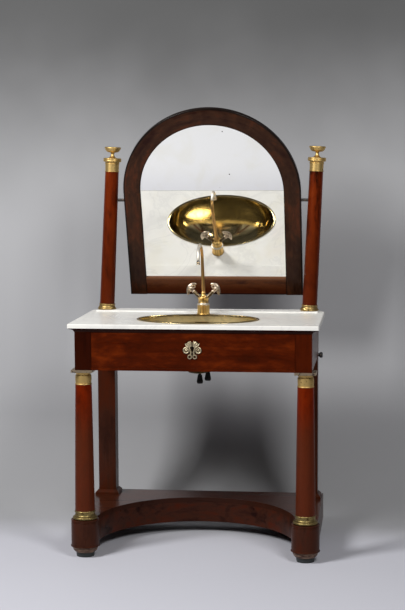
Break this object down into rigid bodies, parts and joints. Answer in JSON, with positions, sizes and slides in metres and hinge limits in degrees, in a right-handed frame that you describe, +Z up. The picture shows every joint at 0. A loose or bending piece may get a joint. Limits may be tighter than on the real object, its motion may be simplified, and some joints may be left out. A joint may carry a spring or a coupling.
{
  "type": "washstand",
  "caption": "Mahogany washstand on a concave plinth with brass-mounted columns, a marble top with a let-in oval basin and tap, a frieze drawer and an arched swing mirror.",
  "frame": {"origin": "on the floor below the middle of the marble slab", "axes": "+X to the right and -Y to the front as a user faces the drawer, +Z up"},
  "size_m": [0.8672, 0.6174, 1.5561],
  "materials": {
    "mahogany": "french polished",
    "inner_wood": "plain planed",
    "gilt_brass": "worn gilt",
    "polished_brass": "polished",
    "tap_metal": "worn plating",
    "dark_pipe": "blackened",
    "dark_iron": "dull",
    "pale_brass": "worn",
    "marble": "polished",
    "silvered_glass": "old silvering",
    "leather_washer": "dull"
  },
  "bodies": {
    "stand": {"abacus_plates": "gilt_brass", "basin_bowl": "polished_brass", "bun_feet": "mahogany", "capitals": "gilt_brass", "case_back": "inner_wood", "case_sides": "mahogany", "column_bases": "gilt_brass", "columns": "mahogany", "corner_blocks": "mahogany", "cornice_front": "mahogany", "cornice_sides": "mahogany", "drawer_runners": "inner_wood", "drawer_stops": "inner_wood", "finial_dishes": "gilt_brass", "foot_drums": "mahogany", "front_rails": "mahogany", "gaskets": "leather_washer", "leg_plinths": "mahogany", "marble_top": "marble", "overflow_channel": "polished_brass", "pivot_bushes": "dark_iron", "platform_curved_front": "mahogany", "platform_glue_blocks": "inner_wood", "platform_top": "mahogany", "platform_walls": "mahogany", "post_bolts": "dark_iron", "post_collars": "gilt_brass", "post_rings": "gilt_brass", "posts": "mahogany", "rear_feet": "mahogany", "rear_legs": "mahogany", "side_peg": "mahogany", "supply_tails": "dark_pipe", "tail_nuts": "dark_pipe", "tap_back_nut": "tap_metal", "tap_body": "tap_metal", "waste_fitting": "polished_brass", "waste_nut": "polished_brass"},
    "mirror": {"mirror_arch": "mahogany", "mirror_sill": "mahogany", "mirror_stiles": "mahogany", "mirror_glass": "silvered_glass", "mirror_backboard": "inner_wood", "backboard_cleats": "dark_iron", "pivot_rods": "dark_iron"},
    "drawer": {"drawer_front": "mahogany", "tray_sides": "inner_wood", "tray_backs": "inner_wood", "tray_floors": "inner_wood", "lock_case": "dark_iron", "escutcheon": "pale_brass", "escutcheon_pins": "pale_brass"},
    "lock_bolt": {"lock_bolt": "dark_iron"},
    "spout": {"spout": "tap_metal", "spout_nozzle": "tap_metal"},
    "tap_handle_left": {"tap_handle_left": "tap_metal", "tap_spindle_left": "tap_metal"},
    "tap_handle_right": {"tap_handle_right": "tap_metal", "tap_spindle_right": "tap_metal"}
  },
  "joints": [
    {"name": "mirror_tilt", "type": "hinge", "parent": "stand", "child": "mirror", "pos_m": [0.01896, 0.2145, 1.223], "axis": [1, 0, 0], "range_deg": [-30, 20]},
    {"name": "drawer_slide", "type": "slide", "parent": "stand", "child": "drawer", "axis": [0, -1, 0], "range_m": [0, 0.22]},
    {"name": "lock_bolt_slide", "type": "slide", "parent": "drawer", "child": "lock_bolt", "axis": [0, 0, 1], "range_m": [0, 0.007]},
    {"name": "spout_swivel", "type": "hinge", "parent": "stand", "child": "spout", "pos_m": [0, 0.092, 0.8935], "axis": [-0.0314, 0, 0.9995], "range_deg": [-60, 60]},
    {"name": "tap_turn_left", "type": "hinge", "parent": "stand", "child": "tap_handle_left", "pos_m": [0, 0.092, 0.865], "axis": [-0.7071, 0, 0.7071], "range_deg": [0, 90]},
    {"name": "tap_turn_right", "type": "hinge", "parent": "stand", "child": "tap_handle_right", "pos_m": [0, 0.092, 0.865], "axis": [0.7071, 0, 0.7071], "range_deg": [-90, 0]}
  ]
}
